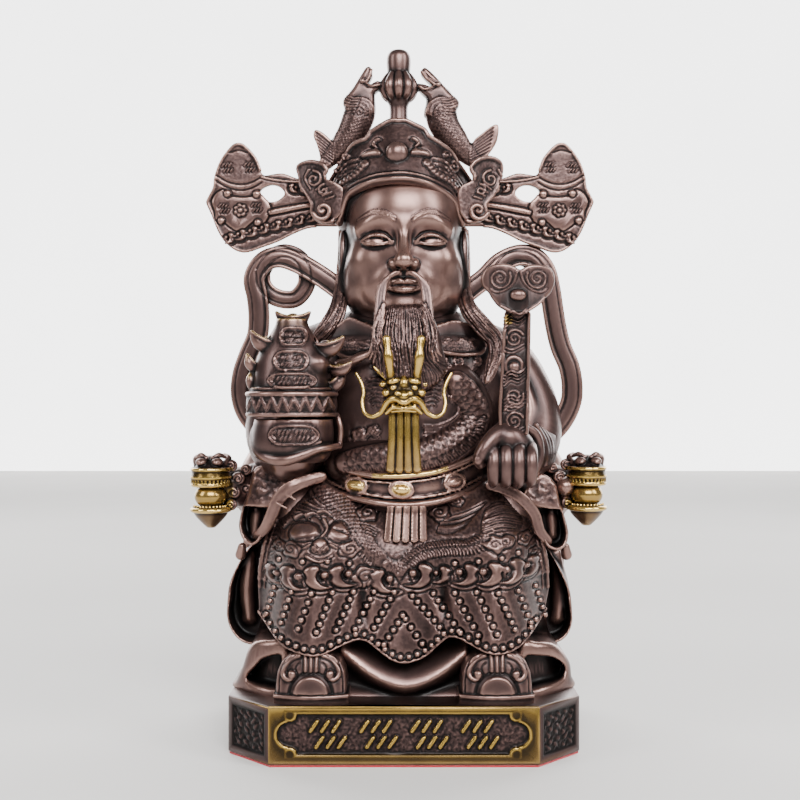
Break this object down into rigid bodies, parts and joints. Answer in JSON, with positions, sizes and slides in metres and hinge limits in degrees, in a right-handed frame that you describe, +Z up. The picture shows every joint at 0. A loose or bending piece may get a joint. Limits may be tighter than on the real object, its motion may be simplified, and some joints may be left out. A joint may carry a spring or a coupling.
{
  "type": "seated wealth-god figure",
  "caption": "Cast bronze figure of a bearded god of wealth seated on a dragon-arm chair, holding a treasure bowl and a ruyi sceptre, on a chamfered plinth.",
  "frame": {"origin": "centre of the underside of the felt pad under the plinth", "axes": "+Z up along the figure's height, the figure faces -Y, +X is to the figure's left hand, the right side of a front view"},
  "size_m": [0.2498, 0.164, 0.4175],
  "materials": {
    "bronze": "dark red-brown patinated cast bronze, near black in the hollows, rubbed to copper on the high edges and to brass on the clasp, belt gems, dragon mouths and panel frame",
    "felt": "thin red felt"
  },
  "bodies": {
    "root": {"caishen_casting": "bronze", "felt_pad": "felt"}
  },
  "joints": []
}
